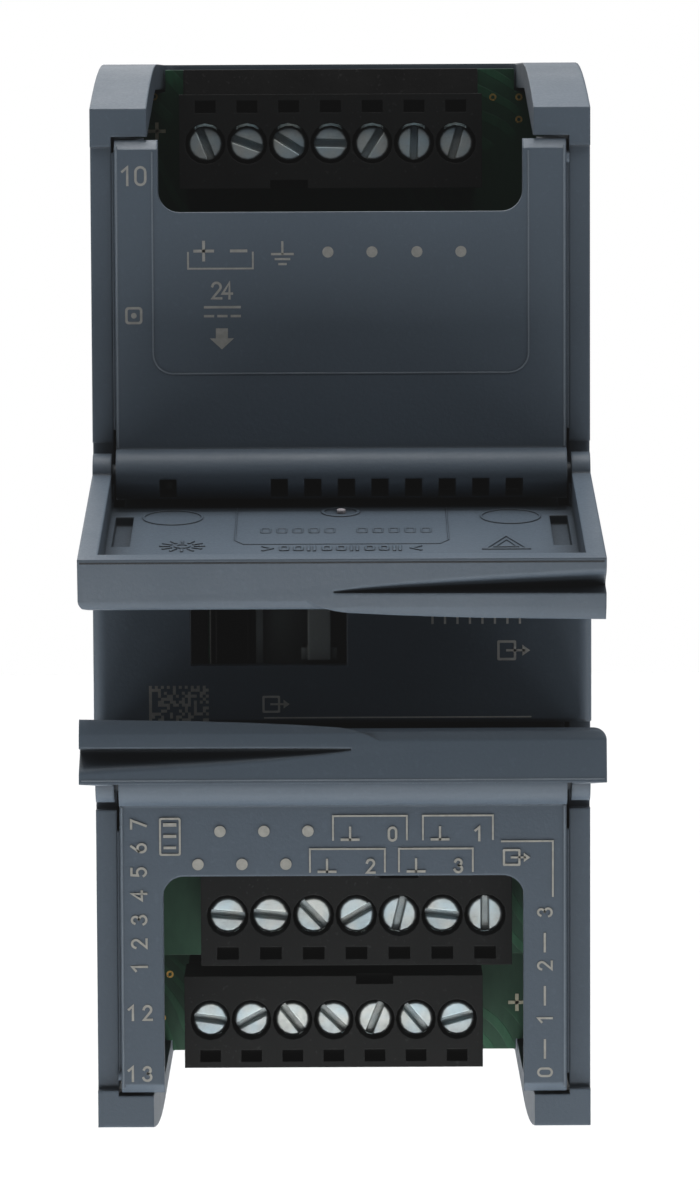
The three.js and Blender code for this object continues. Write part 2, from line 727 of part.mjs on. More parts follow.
function outputBoard() {
  const y = [behind(OUTPUT_BOARD_DEPTH), behind(OUTPUT_BOARD_DEPTH + BOARD)];
  return box([-19.8, 19.8], y, [-35.3, 13]);
}

function lightGuide(places, hinge, side) {
  const z = HINGE_Z[hinge] + side * SLOT_DROP;
  const legs = places.map((x) =>
    box(around(x, 0.95), [behind(LIGHT_GUIDE_TIP), behind(OUTPUT_BOARD_DEPTH - 0.8)], around(z, 1)),
  );
  if (places.length > 1) {
    const span = [places[0] - 0.5, places[places.length - 1] + 0.5];
    legs.push(box(span, [behind(21), behind(22.2)], around(z, 1)));
  }
  return join(...legs);
}

// ---------------------------------------------------------------- sliding bus connector
// A plate behind the front window with a finger tab, and an arm that carries the bus plug.
function busSlider() {
  const [z0, z1] = BUS_WINDOW.z;
  const plateZ = [BLOCK_Z[0] + WALL + 0.4, BLOCK_Z[1] - WALL - 0.4];
  const plate = box([-7.8, 8], [behind(4.3), behind(6.3)], plateZ);
  const edge = box([-7.8, -7.1], [behind(3.1), behind(4.5)], plateZ);
  const tab = box([-3.1, -1], [behind(1.2), behind(4.5)], [z0 + 0.3, z1 - 0.3]);
  const foot = box([-3.7, -0.4], [behind(1.6), behind(4.5)], [z0 + 0.3, z0 + 1.5]);
  const arm = box([-7.8, -4.6], [behind(6.1), behind(19)], [-5, 5]);
  const carrier = box([-12.2, -4.6], [behind(13), behind(19)], [-6.5, 6.5]);
  return join(plate, edge, tab, foot, arm, carrier);
}

// The plug is a clearance fit in a neighbouring module's socket.
function busPlug() {
  const [d0, d1] = BUS_SOCKET.depth;
  const [z0, z1] = BUS_SOCKET.z;
  const inset = BUS_SOCKET_WALL + GAP;
  const y = [behind(d0 + inset), behind(d1 - inset)];
  const body = box([-22.2, -12.5], y, [z0 + inset, z1 - inset]);
  const contactSlot = box([-23, -18.5], around((y[0] + y[1]) / 2, 1.4), [z0 + 3, z1 - 3]);
  return cut(body, contactSlot);
}

function busSocket() {
  const [d0, d1] = BUS_SOCKET.depth;
  const [z0, z1] = BUS_SOCKET.z;
  const w = BUS_SOCKET_WALL;
  const body = box([13, 22.1], [behind(d0), behind(d1)], BUS_SOCKET.z);
  return cut(body, box([15, 23], [behind(d0 + w), behind(d1 - w)], [z0 + w, z1 - w]));
}

// ---------------------------------------------------------------- rail clips
// Built for the lower groove: the hook end reaches up into the rail channel.
function railClip() {
  const hook = -RAIL_CHANNEL_HALF + CLIP_HOOK;
  const body = upZ(clipSection(CLIP_WIDTH, CLIP_RIB_WIDTH, 0), [BOTTOM + 0.4, hook]);
  const hole = rod(CLIP_HOLE_RADIUS, "y", [0, BACK - 6, BOTTOM + 4.6], 8, 16);
  const leverSlot = box(around(0, 5), [BACK - 2, BACK + 1], [BOTTOM + 9.5, BOTTOM + 11.5]);
  return cut(body, hole, leverSlot);
}

// ---------------------------------------------------------------- assembly
node("rear_housing", rearHousing(), MATERIALS.housing);
node("front_cover", frontCover(), MATERIALS.housing);
node("upper_terminal_cover", terminalCover(), MATERIALS.cover, hinged("upper"));
node("lower_terminal_cover", terminalCover(), MATERIALS.cover, hinged("lower"));
for (const [name, place] of Object.entries(BLOCKS)) addTerminal(name, place);

node("main_board", mainBoard(), MATERIALS.board);
node("output_board", outputBoard(), MATERIALS.board);
const boardGap = [behind(OUTPUT_BOARD_DEPTH + BOARD + GAP), behind(MAIN_BOARD_DEPTH - GAP)];
const onMain = (depth) => [behind(MAIN_BOARD_DEPTH - GAP - depth), behind(MAIN_BOARD_DEPTH - GAP)];
node("board_link", box([-14, 14], boardGap, [5.4, 10.4]), MATERIALS.connector);
node("converter_transformer", box([-16, -3], onMain(10), [16, 28]), MATERIALS.ferrite);
node("bus_controller_chip", box([-14, -4], onMain(1.4), [-12, -2]), MATERIALS.chip);
node("output_converter_chip", box([3, 13], onMain(1.8), [-20, -8]), MATERIALS.chip);
const canAt = (x, z) => rod(4, "y", [x, behind(MAIN_BOARD_DEPTH - GAP - 12), z], 12, 20);
node("input_capacitor", canAt(4.5, 22), MATERIALS.capacitor);
node("output_capacitor", canAt(14, 22), MATERIALS.capacitor);
node("status_light_guide", lightGuide([STATUS_SLOT_X], "upper", -1), MATERIALS.lightGuide);
const channelX = [2, 3, 4, 5].map((i) => FIRST_SLOT_X + i * SLOT_PITCH);
node("channel_light_guide", lightGuide(channelX, "lower", 1), MATERIALS.lightGuide);

node("bus_slider", busSlider(), MATERIALS.clip);
node("bus_plug", busPlug(), MATERIALS.connector);
node("bus_socket", busSocket(), MATERIALS.connector);
const flipped = new THREE.Group();
flipped.rotation.y = Math.PI;
module.add(flipped);
node("lower_rail_clip", railClip(), MATERIALS.clip);
node("upper_rail_clip", railClip(), MATERIALS.clip, flipped);

export default module;
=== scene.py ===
"""Looks of a DIN-rail output module: moulded housing, hinged terminal covers, pull-off screw
terminal blocks, sliding bus connector and rail clips. Lengths are metres in the part's frame."""

import json
import math
import random

import bmesh
import bpy
from mathutils import Matrix, Vector


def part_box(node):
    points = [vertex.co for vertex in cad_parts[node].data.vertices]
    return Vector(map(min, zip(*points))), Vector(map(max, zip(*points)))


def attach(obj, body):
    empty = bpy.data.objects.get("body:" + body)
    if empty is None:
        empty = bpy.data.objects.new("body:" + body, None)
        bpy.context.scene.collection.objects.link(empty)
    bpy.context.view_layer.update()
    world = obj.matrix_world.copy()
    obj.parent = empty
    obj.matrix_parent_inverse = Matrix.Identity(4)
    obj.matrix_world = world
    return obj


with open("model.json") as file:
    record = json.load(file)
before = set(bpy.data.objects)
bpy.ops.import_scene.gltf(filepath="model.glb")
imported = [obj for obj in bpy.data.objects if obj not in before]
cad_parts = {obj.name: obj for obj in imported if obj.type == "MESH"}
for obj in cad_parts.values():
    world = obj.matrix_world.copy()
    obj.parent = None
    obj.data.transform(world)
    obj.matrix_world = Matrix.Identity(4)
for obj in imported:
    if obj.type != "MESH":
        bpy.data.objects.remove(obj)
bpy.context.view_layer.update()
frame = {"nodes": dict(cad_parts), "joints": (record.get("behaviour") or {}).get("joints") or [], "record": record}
MM = 0.001
scene = bpy.context.scene
JOINTS = {j["name"]: j for j in frame["joints"]}

# ---------------------------------------------------------------- places taken from the frame
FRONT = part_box("front_cover")[0].y / MM
PANEL_Y = FRONT + 4.4
COVER_INNER_Y = -2.8  # a closed cover's inner face, from its hinge axis
PRINT = 0.02  # how far printed marks stand proud
PRINT_ROOT = 0.01  # how deep they reach into the face


def hinge_matrix(which):
    """From a terminal cover's own closed frame (mm, hinge axis on X) to where it stands at rest."""
    joint = JOINTS["cover_%s_hinge" % which]
    place = Matrix.Translation(Vector(joint["pos_m"]))
    if which == "lower":
        place = place @ Matrix.Rotation(math.pi, 4, "Y")
    opened = -math.radians(joint["range_deg"][0])
    return place @ Matrix.Rotation(opened, 4, "X") @ Matrix.Scale(MM, 4)


MILLIMETRES = Matrix.Scale(MM, 4)


# ---------------------------------------------------------------- node materials
def linear(r, g, b):
    return tuple(((c / 255 + 0.055) / 1.055) ** 2.4 if c > 10 else c / 3294.6 for c in (r, g, b))


class Nodes:
    """A small builder for one material's node tree, on object coordinates in metres."""

    def __init__(self, name):
        self.material = bpy.data.materials.new(name)
        self.material.use_nodes = True
        self.tree = self.material.node_tree
        self.shader = self.tree.nodes["Principled BSDF"]
        self.coordinates = self.tree.nodes.new("ShaderNodeTexCoord").outputs["Object"]

    def add(self, kind, **settings):
        node = self.tree.nodes.new("ShaderNode" + kind)
        for key, value in settings.items():
            setattr(node, key, value)
        return node

    def link(self, source, target):
        self.tree.links.new(source, target)

    def set(self, **values):
        for key, value in values.items():
            socket = self.shader.inputs[key.replace("_", " ")]
            if isinstance(value, bpy.types.NodeSocket):
                self.link(value, socket)
            else:
                socket.default_value = value

    def stretched(self, scale, turn=(0, 0, 0)):
        mapping = self.add("Mapping")
        mapping.inputs["Scale"].default_value = scale
        mapping.inputs["Rotation"].default_value = turn
        self.link(self.coordinates, mapping.inputs["Vector"])
        return mapping.outputs["Vector"]

    def noise(self, scale, detail=2.0, roughness=0.5, vector=None):
        node = self.add("TexNoise")
        node.inputs["Scale"].default_value = scale
        node.inputs["Detail"].default_value = detail
        node.inputs["Roughness"].default_value = roughness
        self.link(vector or self.coordinates, node.inputs["Vector"])
        return node.outputs["Fac"]

    def ranged(self, value, low, high, to_low, to_high):
        node = self.add("MapRange")
        for socket, number in zip(node.inputs[1:5], (low, high, to_low, to_high)):
            socket.default_value = number
        self.link(value, node.inputs["Value"])
        return node.outputs["Result"]

    def maths(self, operation, a, b):
        node = self.add("Math", operation=operation)
        for socket, value in zip(node.inputs, (a, b)):
            if isinstance(value, bpy.types.NodeSocket):
                self.link(value, socket)
            else:
                socket.default_value = value
        return node.outputs[0]

    def mixed(self, factor, a, b):
        node = self.add("Mix", data_type="RGBA")
        for socket, value in zip((node.inputs[0], node.inputs[6], node.inputs[7]), (factor, a, b)):
            if isinstance(value, bpy.types.NodeSocket):
                self.link(value, socket)
            elif isinstance(value, tuple):
                socket.default_value = (*value, 1)
            else:
                socket.default_value = value
        return node.outputs[2]

    def bump(self, height, distance, strength=0.5, normal=None):
        node = self.add("Bump")
        node.inputs["Strength"].default_value = strength
        node.inputs["Distance"].default_value = distance
        self.link(height, node.inputs["Height"])
        if normal:
            self.link(normal, node.inputs["Normal"])
        return node.outputs["Normal"]

    def edges(self, radius):
        """0 on flat faces, 1 along outer and inner edges."""
        bevel = self.add("Bevel", samples=4)
        bevel.inputs["Radius"].default_value = radius
        flat = self.add("NewGeometry")
        dot = self.add("VectorMath", operation="DOT_PRODUCT")
        self.link(bevel.outputs[0], dot.inputs[0])
        self.link(flat.outputs["Normal"], dot.inputs[1])
        return self.ranged(dot.outputs["Value"], 0.995, 0.86, 0.0, 1.0)


def shade(colour, factor):
    return tuple(min(c * factor, 1.0) for c in colour)


def moulded(name, colour, rough=0.5, grain=1.0, level=0.3, painted_shade_range=(0.25, 0.85, 0.45),
             reach=0.0035):
    """Spark-textured moulded plastic: fine grain, slow drift of tint, paler rubbed edges, and painted shade in
    hollows.
    """
    n = Nodes(name)
    drift = n.noise(38, 3)
    grit = n.noise(3600, 2, 0.6)
    flecks = n.noise(1500, 1)
    base = n.mixed(n.ranged(drift, 0.3, 0.7, 0, 1), shade(colour, 0.93), shade(colour, 1.07))
    base = n.mixed(n.ranged(flecks, 0.62, 0.74, 0, 0.16), base, shade(colour, 1.5))
    base = n.mixed(n.ranged(grit, 0.3, 0.7, 0, 0.12), base, shade(colour, 0.72))
    worn = n.maths("MULTIPLY", n.edges(0.00035), n.ranged(n.noise(260, 3), 0.35, 0.7, 0.1, 0.5))
    base = n.mixed(worn, base, shade(colour, 1.55))
    # painted shade: ambient occlusion darkens the colour towards 0.12 of itself in hollows, creases and close to
    # other parts
    painted_shade_ao = n.add("AmbientOcclusion", samples=6)
    painted_shade_ao.inputs["Distance"].default_value = reach
    free_of_painted_shade = n.ranged(painted_shade_ao.outputs["AO"], *painted_shade_range, 1.0)
    base = n.mixed(free_of_painted_shade, shade(colour, 0.12), base)
    smear = n.noise(90, 4, 0.6, n.stretched((1, 1, 0.4)))
    roughness = n.maths("ADD", n.ranged(smear, 0.3, 0.7, rough - 0.05, rough + 0.05),
                        n.ranged(grit, 0.3, 0.7, -0.04, 0.04))
    soft_edge = n.add("Bevel", samples=4)
    soft_edge.inputs["Radius"].default_value = 0.0003
    n.set(Base_Color=base, Roughness=roughness,
          Normal=n.bump(grit, 0.00003 * grain, 0.55, soft_edge.outputs[0]))
    n.shader.inputs["Specular IOR Level"].default_value = level
    return n.material


def glass_filled(name, colour, rough):
    """Black glass-filled plastic: swirled gloss and short pale fibre flecks."""
    n = Nodes(name)
    fibres = n.noise(2600, 1, 0.5, n.stretched((1, 0.25, 1), (0.3, 0.2, 0.5)))
    swirl = n.noise(170, 4, 0.65)
    base = n.mixed(n.ranged(swirl, 0.3, 0.7, 0, 1), shade(colour, 0.75), shade(colour, 1.35))
    base = n.mixed(n.ranged(fibres, 0.66, 0.8, 0, 0.4), base, shade(colour, 6))
    worn = n.maths("MULTIPLY", n.edges(0.0002), 0.3)
    base = n.mixed(worn, base, shade(colour, 3))
    soft_edge = n.add("Bevel", samples=4)
    soft_edge.inputs["Radius"].default_value = 0.00015
    n.set(Base_Color=base, Roughness=n.ranged(swirl, 0.3, 0.7, rough - 0.1, rough + 0.12),
          Normal=n.bump(fibres, 0.00003, 0.5, soft_edge.outputs[0]))
    n.shader.inputs["Specular IOR Level"].default_value = 0.16
    return n.material


def plated(name, colour, rough, scale=1.0):
    """Zinc-plated metal: crystalline mottling, faint tints, fine scratches and painted shade in recesses."""
    n = Nodes(name)
    mottle = n.noise(1700 * scale, 4, 0.7)
    tint = n.noise(380 * scale, 2)
    scratch = n.noise(900 * scale, 2, 0.5, n.stretched((1, 1, 9), (0, 0.6, 0)))
    cool = tuple(c * f for c, f in zip(colour, (0.9, 1.0, 1.04)))
    warm = tuple(c * f for c, f in zip(colour, (1.06, 1.0, 0.93)))
    base = n.mixed(n.ranged(tint, 0.35, 0.65, 0, 1), cool, warm)
    base = n.mixed(n.ranged(mottle, 0.45, 0.75, 0, 0.3), base, shade(colour, 0.7))
    base = n.mixed(n.ranged(scratch, 0.62, 0.75, 0, 0.22), base, shade(colour, 0.5))
    # painted shade: ambient occlusion darkens the colour in recesses such as screw slots
    painted_recess_shade = n.add("AmbientOcclusion", samples=6)
    painted_recess_shade.inputs["Distance"].default_value = 0.0007
    base = n.mixed(n.ranged(painted_recess_shade.outputs["AO"], 0.4, 0.85, 0.06, 1.0), shade(colour, 0.1), base)
    n.set(Base_Color=base, Metallic=0.72,
          Roughness=n.ranged(mottle, 0.3, 0.72, rough - 0.06, rough + 0.12),
          Normal=n.bump(scratch, 0.00001, 0.5))
    return n.material


def solder_resist(name, colour, line):
    """Green board lacquer over faint copper tracks, with the glass weave just showing."""
    n = Nodes(name)
    tracks = n.add("TexWave", wave_type="BANDS", bands_direction="DIAGONAL")
    tracks.inputs["Scale"].default_value = 210
    tracks.inputs["Distortion"].default_value = 9
    tracks.inputs["Detail"].default_value = 0
    tracks.inputs["Detail Scale"].default_value = 0.5
    n.link(n.stretched((1, 0, 1)), tracks.inputs["Vector"])
    planes = n.ranged(n.noise(75, 1, 0.3), 0.5, 0.53, 0, 1)
    copper = n.maths("MULTIPLY", n.ranged(tracks.outputs["Fac"], 0.62, 0.7, 0, 1), planes)
    weave = n.noise(2100, 1, 0.5, n.stretched((1, 1, 0.3)))
    base = n.mixed(copper, colour, line)
    base = n.mixed(n.ranged(weave, 0.4, 0.7, 0, 0.25), base, shade(colour, 0.6))
    n.shader.inputs["Specular IOR Level"].default_value = 0.25
    n.set(Base_Color=base, Roughness=n.ranged(weave, 0.3, 0.7, 0.45, 0.55),
          Normal=n.bump(n.maths("ADD", copper, n.maths("MULTIPLY", weave, 0.3)), 0.00004, 0.4))
    return n.material


def inked(name, colour):
    """Printed or laser-marked lettering, a little uneven in density."""
    n = Nodes(name)
    density = n.noise(1900, 3, 0.6)
    base = n.mixed(n.ranged(density, 0.35, 0.65, 0, 0.45), colour, shade(colour, 0.62))
    n.set(Base_Color=base, Roughness=n.ranged(density, 0.3, 0.7, 0.6, 0.75),
          Normal=n.bump(density, 0.00001, 0.3))
    return n.material


def milky(name, colour):
    """Clear light guide, scattering a little, with flow lines."""
    n = Nodes(name)
    flow = n.noise(300, 2, 0.5, n.stretched((1, 0.1, 1)))
    n.set(Base_Color=n.mixed(n.ranged(flow, 0.3, 0.7, 0, 1), colour, shade(colour, 0.7)),
          Roughness=n.ranged(flow, 0.3, 0.7, 0.18, 0.3), Normal=n.bump(flow, 0.00002, 0.3))
    n.shader.inputs["Transmission Weight"].default_value = 0.35
    return n.material


def studio_paper(name, colour):
    n = Nodes(name)
    tooth = n.noise(700, 3)
    n.set(Base_Color=n.mixed(n.ranged(tooth, 0.3, 0.7, 0, 1), colour, shade(colour, 0.985)),
          Roughness=0.9)
    return n.material


MATERIALS = {
    "housing": moulded("housing", linear(70, 81, 92)),
    # the covers get lighter painted shade in their hollows than the housing
    "cover": moulded("cover", linear(70, 81, 92), painted_shade_range=(0.5, 0.95, 0.28)),
    "terminal": glass_filled("terminal", linear(20, 21, 21), 0.7),
    "connector": glass_filled("connector", linear(28, 28, 28), 0.5),
    # the clips get deep painted shade that reaches far, set by the last two arguments
    "clip": moulded("clip", linear(158, 161, 156), 0.55, 1.0, 0.3, (0.45, 0.8, 0.05), 0.009),
    "steel": plated("steel", linear(196, 205, 208), 0.5),
    "board": solder_resist("board", linear(24, 62, 43), linear(32, 78, 54)),
    "ferrite": glass_filled("ferrite", linear(58, 57, 58), 0.7),
    "chip": glass_filled("chip", linear(24, 25, 27), 0.6),
    "capacitor": plated("capacitor", linear(190, 193, 198), 0.35, 0.3),
    "light_guide": milky("light_guide", linear(66, 70, 70)),
}
INK = inked("print", linear(148, 147, 140))
INK_UPPER = inked("print_upper", linear(136, 136, 132))
INK_DIM = inked("print_dim", linear(150, 148, 142))
INK_BLOCK = inked("print_block", linear(178, 176, 170))
# painted highlight: a pale colour for lines along edges that catch the light
PAINTED_HIGHLIGHT = moulded("painted_edge_highlight", linear(104, 114, 124))
# painted shade: a dark colour for the shade in the parting groove under the upper cover's rim
PAINTED_GROOVE_SHADE = moulded("painted_groove_shade", linear(30, 35, 40))
GOLD = plated("contact_gold", linear(212, 175, 96), 0.28)
TIN = plated("solder_tin", linear(188, 190, 192), 0.35)
SILK = inked("silkscreen", linear(176, 172, 150))
# the gate's pale colour is partly plastic whitened where the gate tore and partly a painted highlight
TORN_AND_HIGHLIT_GATE = moulded("torn_gate_with_painted_highlight", linear(150, 146, 150), 0.6, 2.0)


# ---------------------------------------------------------------- the CAD nodes
def smooth_shading():
    group = bpy.data.node_groups.new("smooth_shading", "GeometryNodeTree")
    group.interface.new_socket("Geometry", in_out="INPUT", socket_type="NodeSocketGeometry")
    group.interface.new_socket("Geometry", in_out="OUTPUT", socket_type="NodeSocketGeometry")
    start = group.nodes.new("NodeGroupInput")
    shade_node = group.nodes.new("GeometryNodeSetShadeSmooth")
    end = group.nodes.new("NodeGroupOutput")
    group.links.new(start.outputs[0], shade_node.inputs["Geometry"])
    group.links.new(shade_node.outputs[0], end.inputs[0])
    return group


SMOOTH = smooth_shading()
WELD = 1e-5  # corners closer than this, in metres, become one before the edges are rounded
SHARP = math.radians(28)  # edges that turn by more than this are rounded or kept crisp
NODE_EDGE = 0.12
EDGE_WIDTH = {"rear_housing": 0, "front_cover": 0.28, "upper_terminal_cover": 0.22,
              "lower_terminal_cover": 0.22, "main_board": 0.05, "output_board": 0.05,
              "terminal_block_x10": 0, "terminal_block_x12": 0, "terminal_block_x13": 0}
SLOT_OF = {part["node"]: part["material_slot"] for part in frame["record"]["subparts"]}


def finish_edges(piece, width, segments=3):
    """Rounds a piece's edges by width, in millimetres, and shades it smooth between them.

    With no width the edges stay as they are and only the shading is split at them."""
    weld = piece.modifiers.new("weld", "WELD")
    weld.merge_threshold = WELD
    if not width:
        shading = piece.modifiers.new("shading", "NODES")
        shading.node_group = SMOOTH
        split = piece.modifiers.new("split", "EDGE_SPLIT")
        split.split_angle = SHARP
        return
    flat = piece.modifiers.new("planar", "DECIMATE")
    flat.decimate_type = "DISSOLVE"
    flat.angle_limit = math.radians(0.6)
    shading = piece.modifiers.new("shading", "NODES")
    shading.node_group = SMOOTH
    bevel = piece.modifiers.new("bevel", "BEVEL")
    bevel.width = width * MM
    bevel.segments = segments
    bevel.limit_method = "ANGLE"
    bevel.angle_limit = SHARP
    bevel.miter_outer = "MITER_ARC"
    normals = piece.modifiers.new("normals", "WEIGHTED_NORMAL")
    normals.mode = "FACE_AREA"
    normals.weight = 100
    normals.thresh = 0.001


for node_name, cad in frame["nodes"].items():
    cad.data.materials.clear()
    cad.data.materials.append(MATERIALS[SLOT_OF[node_name]])
    finish_edges(cad, EDGE_WIDTH.get(node_name, NODE_EDGE))


# ---------------------------------------------------------------- making pieces
def piece(name, bm, material, body, slot, place=MILLIMETRES, edge=0.0):
    """A new object from a bmesh in millimetres, riding on a body."""
    bmesh.ops.recalc_face_normals(bm, faces=bm.faces)
    mesh = bpy.data.meshes.new(name)
    bm.to_mesh(mesh)
    bm.free()
    mesh.transform(place)
    mesh.materials.append(material)
    made = bpy.data.objects.new(name, mesh)
    scene.collection.objects.link(made)
    if edge:
        finish_edges(made, edge, 2)
    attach(made, body)


BLOCK_FACES = ((0, 1, 3, 2), (4, 6, 7, 5), (0, 4, 5, 1), (2, 3, 7, 6), (0, 2, 6, 4), (1, 5, 7, 3))


def add_block(bm, x, y, z):
    """A block between the two values of each of x, y and z."""
    corners = [bm.verts.new((a, b, c)) for a in x for b in y for c in z]
    for face in BLOCK_FACES:
        bm.faces.new([corners[i] for i in face])


def add_loops(bm, outer, inner, y0, y1):
    """A flat ring or plate between two XZ loops of equal length, from y0 (front) to y1."""
    rings = [[bm.verts.new((x, y, z)) for x, z in loop]
             for y in (y0, y1) for loop in (outer, inner)]
    count = len(outer)
    front_out, front_in, back_out, back_in = rings
    for i in range(count):
        j = (i + 1) % count
        bm.faces.new((front_out[i], front_out[j], front_in[j], front_in[i]))
        bm.faces.new((back_out[i], back_in[i], back_in[j], back_out[j]))
        bm.faces.new((front_out[i], back_out[i], back_out[j], front_out[j]))
        bm.faces.new((front_in[i], front_in[j], back_in[j], back_in[i]))


def add_plate(bm, loop, y0, y1):
    """A flat plate of the outline loop, in XZ, from y0 (front) to y1."""
    front = [bm.verts.new((x, y0, z)) for x, z in loop]
    back = [bm.verts.new((x, y1, z)) for x, z in loop]
    bm.faces.new(front)
    bm.faces.new(back[::-1])
    for i in range(len(loop)):
        j = (i + 1) % len(loop)
        bm.faces.new((front[i], back[i], back[j], front[j]))


def circle(x, z, radius, count=28):
    return [(x + radius * math.cos(t), z + radius * math.sin(t))
            for t in (2 * math.pi * i / count for i in range(count))]


def rounded(x0, x1, z0, z1, r, per=6):
    """The outline of a rectangle with corners of radius r, each in per steps."""
    corners = ((x1 - r, z1 - r, 0), (x0 + r, z1 - r, 90),
               (x0 + r, z0 + r, 180), (x1 - r, z0 + r, 270))
    turns = [(cx, cz, math.radians(start + 90 * k / per))
             for cx, cz, start in corners for k in range(per + 1)]
    return [(cx + r * math.cos(turn), cz + r * math.sin(turn)) for cx, cz, turn in turns]


def add_frame(bm, x0, x1, z0, z1, line, radii, y0, y1, per=2):
    """A rounded rectangle drawn with a line of the given width. Radii are its outer and inner."""
    outer = rounded(x0, x1, z0, z1, radii[0], per)
    inner = rounded(x0 + line, x1 - line, z0 + line, z1 - line, radii[1], per)
    add_loops(bm, outer, inner, y0, y1)


def add_line(bm, points, width, y0, y1):
    """One mitred stroke through points, with square ends. It closes if it ends where it starts."""
    closed = points[0] == points[-1]
    path = [Vector(p) for p in (points[:-1] if closed else points)]
    count = len(path)
    runs = [(path[(i + 1) % count] - path[i]).normalized() for i in range(count)]
    rows = []
    for i, point in enumerate(path):
        before = runs[i - 1] if closed or i else runs[0]
        after = runs[i] if closed or i < count - 1 else runs[i - 1]
        side = Vector((-before.y - after.y, before.x + after.x)).normalized()
        spread = width / 2 / max(side.dot(Vector((-after.y, after.x))), 0.5)
        tip = Vector((0, 0))
        if not closed and i in (0, count - 1):
            tip = after * (-width / 2 if i == 0 else width / 2)
        left, right = point + side * spread + tip, point - side * spread + tip
        rows.append([bm.verts.new((q.x, y, q.y)) for y in (y0, y1) for q in (left, right)])
    for i in range(count if closed else count - 1):
        a, b = rows[i], rows[(i + 1) % count]
        for j, k in ((0, 1), (1, 3), (3, 2), (2, 0)):
            bm.faces.new((a[j], a[k], b[k], b[j]))
    if not closed:
        bm.faces.new((rows[0][0], rows[0][2], rows[0][3], rows[0][1]))
        bm.faces.new((rows[-1][0], rows[-1][1], rows[-1][3], rows[-1][2]))


def arc(cx, cz, rx, rz, start, end, count=10):
    return [(cx + rx * math.cos(math.radians(start + (end - start) * i / count)),
             cz + rz * math.sin(math.radians(start + (end - start) * i / count)))
            for i in range(count + 1)]


DIGITS = {  # centre lines of plain sans digits, in a box 0.56 wide and 1 high
    "0": [arc(0.28, 0.72, 0.28, 0.28, 0, 180) + arc(0.28, 0.28, 0.28, 0.28, 180, 360)
          + [(0.56, 0.72)]],
    "1": [[(0.06, 0.76), (0.34, 1.0), (0.34, 0.0)]],
    "2": [arc(0.28, 0.73, 0.27, 0.27, 170, -35) + [(0.02, 0.0), (0.58, 0.0)]],
    "3": [arc(0.27, 0.76, 0.24, 0.24, 165, -80), arc(0.27, 0.26, 0.29, 0.26, 80, -165)],
    "4": [[(0.44, 0.0), (0.44, 1.0), (0.0, 0.3), (0.34, 0.3)], [(0.56, 0.3), (0.6, 0.3)]],
    "5": [[(0.52, 1.0), (0.08, 1.0), (0.05, 0.56)] + arc(0.27, 0.31, 0.28, 0.31, 110, -150)],
    "6": [[(0.42, 1.0), (0.05, 0.5)] + arc(0.29, 0.29, 0.28, 0.29, 160, 500, 16)],
    "7": [[(0.0, 1.0), (0.56, 1.0), (0.18, 0.0)]],
}


def add_digits(bm, digits, x, z, y0, y1, width=0.22, turned=False):
    """Stroked digits that fill the rectangle x by z on a front face. Turned ones read upwards."""
    across, up = (z, (-x[1], -x[0])) if turned else (x, z)
    height = up[1] - up[0] - width
    advance = (across[1] - across[0] - width - 0.58 * height) / max(len(digits) - 1, 1)
    for i, digit in enumerate(digits):
        left = across[0] + width / 2 + i * advance
        for line in DIGITS[digit]:
            points = [(left + a * height, up[0] + width / 2 + b * height) for a, b in line]
            if turned:
                points = [(-b, a) for a, b in points]
            add_line(bm, points, width, y0, y1)


def printed(name, draw, y, ink):
    """A set of printed marks on the housing's face at Y = y."""
    bm = bmesh.new()
    draw(bm, y - PRINT, y + PRINT_ROOT)
    piece(name, bm, ink, "housing", "housing")


# ---------------------------------------------------------------- printed marks, upper panel
def upper_marks(bm, y0, y1):
    add_digits(bm, "10", (-19.76, -17.35), (39.0, 40.8), y0, y1)
    # supply field: bracketed plus and minus, the ground sign, and four unused poles as dots
    add_line(bm, [(-13.71, 33.0), (-13.71, 31.57), (-7.88, 31.57), (-7.88, 33.0)], 0.16, y0, y1)
    add_line(bm, [(-13.1, 33.15), (-11.5, 33.15)], 0.26, y0, y1)
    add_line(bm, [(-12.3, 32.35), (-12.3, 33.95)], 0.26, y0, y1)
    add_line(bm, [(-9.8, 33.15), (-8.5, 33.15)], 0.26, y0, y1)
    add_line(bm, [(-5.22, 33.91), (-5.22, 32.9)], 0.2, y0, y1)
    for step, half in ((32.85, 0.92), (32.4, 0.6), (31.95, 0.28)):
        add_line(bm, [(-5.22 - half, step), (-5.22 + half, step)], 0.2, y0, y1)
    for x in (-1.13, 2.83, 6.87, 10.83):
        add_plate(bm, circle(x, 33.01, 0.5), y0, y1)
    add_digits(bm, "24", (-11.67, -9.7), (28.79, 30.41), y0, y1)
    # direct-current sign: a line over a broken line
    add_line(bm, [(-12.2, 28.1), (-9.1, 28.1)], 0.22, y0, y1)
    for x in (-12.2, -11.0, -9.8):
        add_line(bm, [(x, 27.3), (x + 0.7, 27.3)], 0.22, y0, y1)
    # an arrow that points at the supply terminals
    arrow = [(-11.25, 26.2), (-11.25, 25.3), (-11.8, 25.3), (-10.71, 24.3), (-9.62, 25.3),
             (-10.17, 25.3), (-10.17, 26.2)]
    add_plate(bm, arrow, y0, y1)
    add_frame(bm, -19.4, -17.85, 26.6, 28.15, 0.22, (0.3, 0.15), y0, y1, 6)
    add_plate(bm, circle(-18.62, 27.37, 0.26, 16), y0, y1)


printed("upper_panel_marks", upper_marks, PANEL_Y, INK_UPPER)


